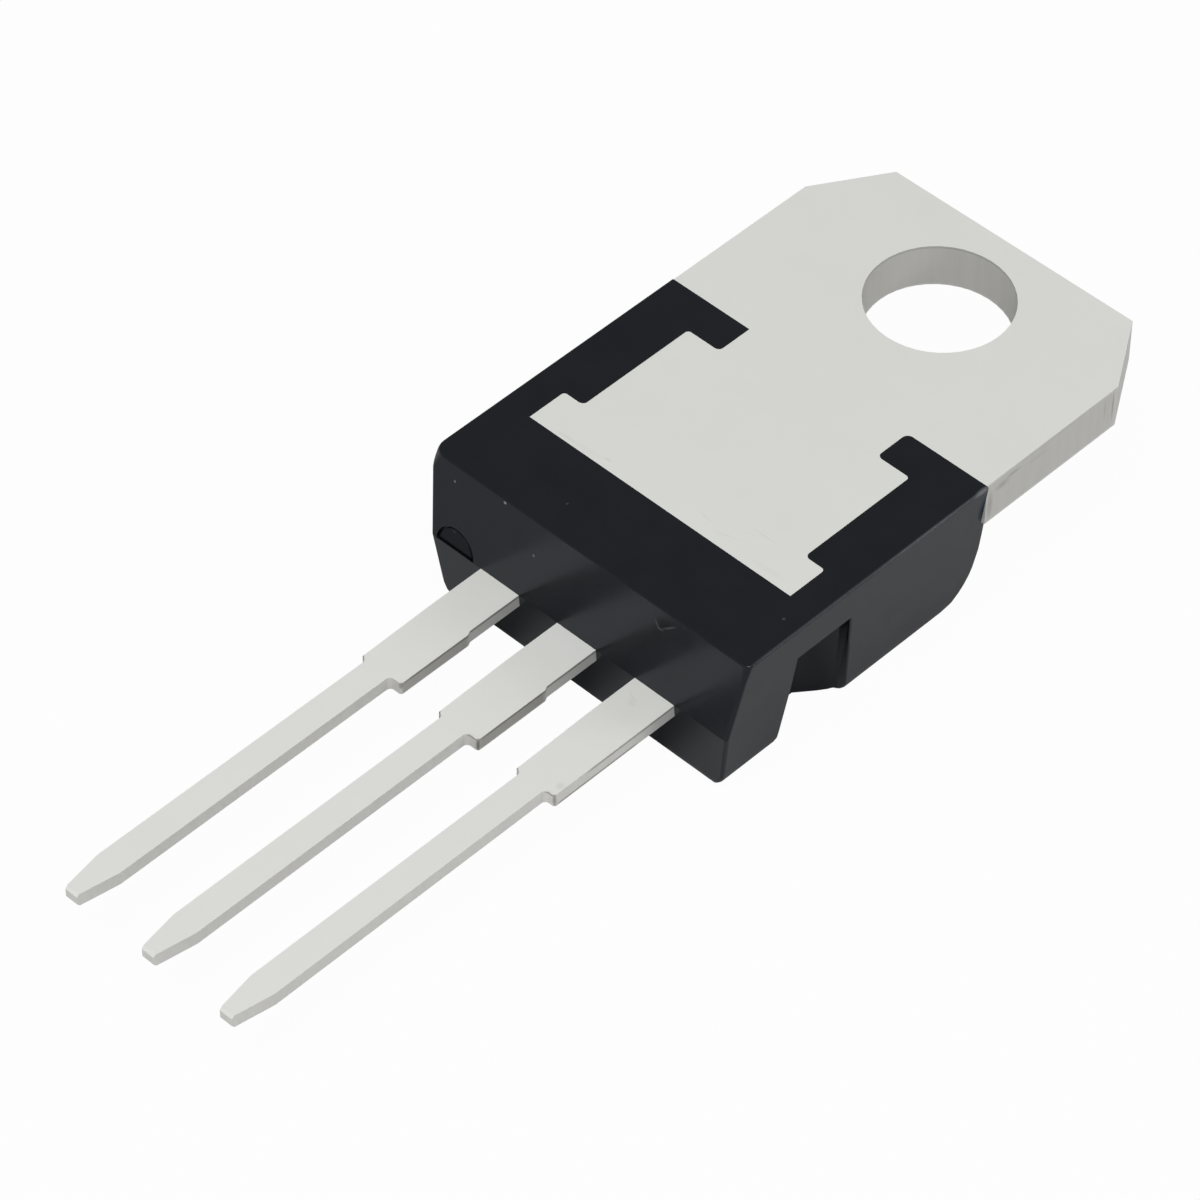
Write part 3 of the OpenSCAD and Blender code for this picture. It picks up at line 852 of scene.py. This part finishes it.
@dataclass
class Metalwork:
    """The tin-plated copper pieces: the heat spreader with the tab, and the two outer leads.

    Attributes:
        nodes: The CAD nodes by name.
        seam: Where the moulding ends towards the tab, in millimetres as all below.
        seam_gap: How far beyond the seam the rounding starts.
        root_end: Where the rounding of the leads' edges ends, inside the moulding.
        tab_r: Rounding of the tab's edges.
        lead_r: Rounding of the leads' edges.
        finish: Their finish with its marks.
    """

    nodes: dict[str, bpy.types.Object]
    seam: float = 7.785
    seam_gap: float = 0.05
    root_end: float = 0.9
    tab_r: float = 0.028
    lead_r: float = 0.02
    finish: TinPlate = TinPlate(
        spots=(
            # The leads are a little brighter than the tab
            Spot(
                (0.0, -7.8, 1.84),
                (4.2, 7.6, 0.6),
                shape=Shape.BOX,
                side=Side.LIGHTER,
                strength=0.12,
            ),
            # Rubs and scratches on the pad
            Spot((-3.15, 2.02, 4.5), (0.34, 0.07, 0.05), turn=3.0, strength=0.09),
            Spot((-2.55, 2.06, 4.5), (0.60, 0.08, 0.05), turn=4.0, strength=0.045),
            Spot((-1.88, 2.16, 4.5), (0.16, 0.05, 0.05), turn=8.0, strength=0.12),
            Spot((2.47, 2.90, 4.5), (0.42, 0.022, 0.05), strength=0.12),
            Spot((2.20, 2.72, 4.5), (0.30, 0.02, 0.05), turn=14.0, strength=0.06),
            Spot((1.05, 2.40, 4.5), (0.34, 0.03, 0.05), turn=-9.0, strength=0.08),
            Spot((1.85, 2.30, 4.5), (0.50, 0.05, 0.05), turn=20.0, strength=0.05),
            Spot((3.30, 2.15, 4.5), (0.60, 0.10, 0.05), turn=2.0, strength=0.04),
            # Smudges on the +X lead, and the painted shadow of a burr at its step
            Spot((2.40, -1.45, 2.09), (0.16, 0.20, 0.05), turn=30.0, strength=0.07),
            Spot((2.25, -1.30, 2.09), (0.20, 0.03, 0.05), turn=-20.0, strength=0.09),
            # Painted shadow of the burr at the step
            Spot((3.06, -4.50, 2.09), (0.13, 0.16, 0.06), strength=0.13),
            # Duller sides where the tie bars were cut, and dark lines along the wide parts
            Spot((-2.47, -3.70, 1.90), (0.80, 1.18, 0.19), shape=Shape.BOX, strength=0.36),
            Spot((0.07, -3.70, 1.90), (0.80, 1.18, 0.19), shape=Shape.BOX, strength=0.47),
            Spot((-2.47, -2.60, 2.045), (0.80, 2.20, 0.035), shape=Shape.BOX, strength=0.60),
            Spot((0.07, -2.60, 2.045), (0.80, 2.20, 0.035), shape=Shape.BOX, strength=0.60),
            Spot((2.61, -2.10, 2.045), (0.80, 1.70, 0.035), shape=Shape.BOX, strength=0.50),
            Spot((2.61, -3.40, 1.740), (0.80, 1.40, 0.030), shape=Shape.BOX, strength=0.60),
            # Dark corners of the shoulders
            Spot((3.157, -4.79, 1.90), (0.065, 0.065, 0.28), strength=0.60),
            Spot((3.02, -4.80, 2.05), (0.24, 0.10, 0.045), strength=0.60),
            Spot((0.677, -4.79, 1.88), (0.065, 0.065, 0.30), strength=0.85),
            Spot((0.50, -4.80, 2.05), (0.24, 0.10, 0.045), strength=0.55),
            Spot((-1.863, -4.79, 1.99), (0.09, 0.09, 0.13), strength=0.50),
            # The hole's wall and its upper rim, and the tab's sheared sides
            Spot((0.0, 11.815, 3.86), (2.3, 2.3, 0.638), shape=Shape.BOX, strength=0.12),
            Spot((0.0, 11.815, 4.462), (2.3, 2.3, 0.038), shape=Shape.BOX, strength=0.28),
            Spot((5.1, 10.1, 3.86), (0.5, 2.6, 0.638), shape=Shape.BOX, strength=0.20),
            Spot((-5.1, 10.1, 3.86), (0.5, 2.6, 0.638), shape=Shape.BOX, strength=0.20),
            # Scuffs on the tab's +X side
            Spot((5.1, 7.93, 3.75), (0.06, 0.14, 0.55), strength=0.30),
            Spot((5.1, 8.35, 4.17), (0.06, 0.32, 0.15), strength=0.26),
            Spot((5.1, 8.75, 4.28), (0.06, 0.32, 0.07), strength=0.30),
            Spot((5.1, 9.60, 4.20), (0.06, 0.40, 0.10), strength=0.10),
            Spot((5.1, 12.38, 3.95), (0.06, 0.045, 0.60), strength=0.42),
            Spot((5.1, 12.08, 4.05), (0.06, 0.035, 0.45), strength=0.22),
            Spot((5.1, 10.2, 4.44), (0.06, 2.3, 0.05), strength=0.16),
        )
    )

    def is_bare_edge(self, middle: Vector) -> bool:
        """Says whether an edge is rounded: those of the tab, and those of the leads."""
        return middle.y > self.seam + self.seam_gap or middle.y < self.root_end

    def spreader(self, plating: bpy.types.Material) -> bpy.types.Object:
        """Makes the dressed tab, chip pad and middle lead."""
        work = EdgeWork(self.tab_r, self.is_bare_edge)
        piece = softened(self.nodes["heat_spreader"], "dressed_spreader", work)
        painted(piece, plating)
        return piece

    def lead(self, node: str, plating: bpy.types.Material) -> bpy.types.Object:
        """Makes one dressed outer lead from the named node."""
        work = EdgeWork(self.lead_r, self.is_bare_edge)
        piece = softened(self.nodes[node], "dressed_" + node, work)
        painted(piece, plating)
        return piece

    def build(self) -> list[bpy.types.Object]:
        """Makes all the plated pieces."""
        plating = self.finish.material("satin tin plating")
        pieces = [self.spreader(plating)]
        pieces += [self.lead(node, plating) for node in ("input_lead", "output_lead")]
        return pieces


@dataclass
class SealedParts:
    """The chip, its solder and its bond wires, which the moulding hides."""

    nodes: dict[str, bpy.types.Object]
    wires: tuple[str, ...] = (
        "input_bond_wire",
        "ground_bond_wire",
        "output_bond_wire",
        "sense_bond_wire",
    )
    chip_finish: Silicon = Silicon()
    solder_finish: SoftMetal = SoftMetal(
        pale=(0.52, 0.53, 0.55), deep=(0.40, 0.41, 0.44), rough=0.42, fine_height=0.002
    )
    wire_finish: SoftMetal = SoftMetal(
        pale=(0.88, 0.88, 0.89), deep=(0.80, 0.80, 0.82), rough=0.22, fine_height=0.0006
    )

    def build(self) -> None:
        """Dresses the sealed nodes in place."""
        painted(self.nodes["regulator_chip"], self.chip_finish.material("polished silicon"))
        painted(self.nodes["chip_solder"], self.solder_finish.material("dull solder"))
        wire = self.wire_finish.material("drawn aluminium wire")
        for name in self.wires:
            painted(self.nodes[name], wire)


@dataclass(frozen=True)
class Lamp:
    """One soft lamp that points at the part.

    Attributes:
        name: Its name.
        place: Where it hangs, in millimetres.
        size: Its side, in millimetres.
        power: Its power in watts.
    """

    name: str
    place: Point
    size: float
    power: float

    def hang(self) -> None:
        """Adds the lamp to the scene."""
        data = bpy.data.lights.new(self.name, "AREA")
        data.shape = "SQUARE"
        data.size = self.size * MM
        data.energy = self.power
        lamp = bpy.data.objects.new(self.name, data)
        at = Vector(self.place) * MM
        turned = (-at).to_track_quat("-Z", "Y").to_matrix().to_4x4()
        lamp.matrix_world = Matrix.Translation(at) @ turned
        bpy.context.scene.collection.objects.link(lamp)


@dataclass
class Studio:
    """The pale floor, the soft light and the camera.

    Attributes:
        camera_at: The camera's place, in millimetres.
        azimuth: Direction of view about the vertical, in degrees, from +Y and growing to the left.
        elevation: How steeply it looks down, in degrees.
        roll: Its turn about the line of sight, in degrees.
        lens: Focal length for a sensor of sensor_width, in millimetres.
        floor_size: Side of the floor, in metres.
        floor_white: How white the floor looks to the camera, from 0 to 1.
        floor_gloss: How white the surroundings look in a mirroring surface.
        floor_drop: How far the floor lies below the part, in millimetres.
        sky_back: Strength of the sky behind the part.
        sky_front: Strength of the sky in front of it.
        sky_span: Between which shares of the way to the front the sky changes.
        front: Direction of the brightest sky.
    """

    camera_at: Point = (64.741, -67.831, 100.038)
    azimuth: float = 43.683
    elevation: float = 46.073
    roll: float = -0.592
    lens: float = 172.35
    sensor_width: float = 36.0
    clip: tuple[float, float] = (0.01, 20.0)
    floor_size: float = 2.0
    floor_colour: Colour = (0.44, 0.44, 0.44)
    floor_rough: float = 0.9
    floor_white: float = 0.97
    floor_gloss: float = 0.04
    floor_drop: float = 0.02
    sky_back: float = 0.20
    sky_front: float = 0.34
    sky_span: tuple[float, float] = (-0.35, 0.75)
    front: Point = (0.10, -0.95, 0.30)
    lamps: tuple[Lamp, ...] = (
        Lamp("front softbox", place=(75.0, -175.0, 460.0), size=280.0, power=1.95),
        Lamp("right softbox", place=(216.0, 150.0, 144.0), size=90.0, power=0.16),
    )

    def add_camera(self) -> None:
        """Sets the camera where the photograph was taken from."""
        azimuth = math.radians(self.azimuth)
        elevation = math.radians(self.elevation)
        level_share = math.cos(elevation)
        towards_x = -math.sin(azimuth) * level_share
        towards_y = math.cos(azimuth) * level_share
        forward = Vector((towards_x, towards_y, -math.sin(elevation)))
        level = forward.cross(Vector((0.0, 0.0, 1.0))).normalized()
        right = Matrix.Rotation(math.radians(self.roll), 3, forward) @ level
        up = right.cross(forward)
        turned = Matrix((right, up, -forward)).transposed().to_4x4()
        data = bpy.data.cameras.new("photograph view")
        data.lens = self.lens
        data.sensor_width = self.sensor_width
        data.clip_start, data.clip_end = self.clip
        camera = bpy.data.objects.new("camera", data)
        camera.matrix_world = Matrix.Translation(Vector(self.camera_at) * MM) @ turned
        bpy.context.scene.collection.objects.link(camera)
        bpy.context.scene.camera = camera

    def add_floor(self) -> bpy.types.Object:
        """Lays the pale floor under the part."""
        mesh = bpy.data.meshes.new("floor")
        half = self.floor_size / 2
        low = -self.floor_drop * MM
        corners = [(-half, -half, low), (half, -half, low), (half, half, low), (-half, half, low)]
        mesh.from_pydata(corners, [], [(0, 1, 2, 3)])
        floor = bpy.data.objects.new("floor", mesh)
        bpy.context.scene.collection.objects.link(floor)
        shades = Shades("pale floor")
        shades.shader.inputs["Base Color"].default_value = (*self.floor_colour, 1.0)
        shades.shader.inputs["Roughness"].default_value = self.floor_rough
        shades.shader.inputs["Specular IOR Level"].default_value = 0.0
        white = shades.node("ShaderNodeEmission")
        white.inputs["Strength"].default_value = 1.0
        path = shades.node("ShaderNodeLightPath")
        seen = shades.maths("MULTIPLY", path.outputs["Is Camera Ray"], self.floor_white)
        mirrored = shades.maths("MULTIPLY", path.outputs["Is Glossy Ray"], self.floor_gloss)
        through = shades.maths("MULTIPLY", path.outputs["Is Transmission Ray"], self.floor_white)
        share = shades.maths("MAXIMUM", shades.maths("MAXIMUM", seen, mirrored), through)
        mix = shades.node("ShaderNodeMixShader")
        shades.link(share, mix.inputs[0])
        shades.link(shades.shader.outputs[0], mix.inputs[1])
        shades.link(white.outputs[0], mix.inputs[2])
        output = next(n for n in shades.tree.nodes if n.type == "OUTPUT_MATERIAL")
        shades.link(mix.outputs[0], output.inputs["Surface"])
        painted(floor, shades.material)
        return floor

    def add_sky(self) -> None:
        """Surrounds the part with soft light that grows from the back to the front."""
        world = bpy.data.worlds.new("studio")
        bpy.context.scene.world = world
        world.use_nodes = True
        tree = world.node_tree
        background = tree.nodes["Background"]
        coords = tree.nodes.new("ShaderNodeTexCoord")
        towards = tree.nodes.new("ShaderNodeVectorMath")
        towards.operation = "DOT_PRODUCT"
        towards.inputs[1].default_value = Vector(self.front).normalized()
        tree.links.new(coords.outputs["Generated"], towards.inputs[0])
        fall = tree.nodes.new("ShaderNodeMapRange")
        fall.interpolation_type = "SMOOTHSTEP"
        for name, number in (
            ("From Min", self.sky_span[0]),
            ("From Max", self.sky_span[1]),
            ("To Min", self.sky_back),
            ("To Max", self.sky_front),
        ):
            fall.inputs[name].default_value = number
        tree.links.new(towards.outputs["Value"], fall.inputs["Value"])
        path = tree.nodes.new("ShaderNodeLightPath")
        seen = tree.nodes.new("ShaderNodeMath")
        seen.operation = "MAXIMUM"
        tree.links.new(path.outputs["Is Camera Ray"], seen.inputs[0])
        tree.links.new(path.outputs["Is Transmission Ray"], seen.inputs[1])
        mirrored = tree.nodes.new("ShaderNodeMath")
        mirrored.operation = "MULTIPLY_ADD"
        mirrored.inputs[1].default_value = self.floor_gloss
        tree.links.new(path.outputs["Is Glossy Ray"], mirrored.inputs[0])
        tree.links.new(seen.outputs[0], mirrored.inputs[2])
        strength = tree.nodes.new("ShaderNodeMix")
        tree.links.new(mirrored.outputs[0], strength.inputs[0])
        tree.links.new(fall.outputs["Result"], strength.inputs[2])
        strength.inputs[3].default_value = 1.0
        tree.links.new(strength.outputs[0], background.inputs["Strength"])
        background.inputs["Color"].default_value = WHITE

    def build(self) -> None:
        """Sets the whole studio up."""
        self.add_camera()
        self.add_floor()
        self.add_sky()
        for lamp in self.lamps:
            lamp.hang()
        bpy.context.scene.view_settings.view_transform = "Standard"


def main() -> None:
    """Builds the classes in order and reports each piece."""
    logging.basicConfig(level=logging.INFO, format="%(name)s: %(message)s")
    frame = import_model()
    nodes = frame["nodes"]
    Studio().build()
    LOG.info("studio is set")
    body = Moulding(nodes).build()
    LOG.info("%s has %d faces", body.name, len(body.data.polygons))
    for piece in Metalwork(nodes).build():
        LOG.info("%s has %d faces", piece.name, len(piece.data.polygons))
    SealedParts(nodes).build()
    LOG.info("sealed parts are dressed")


if __name__ == "__main__":
    main()
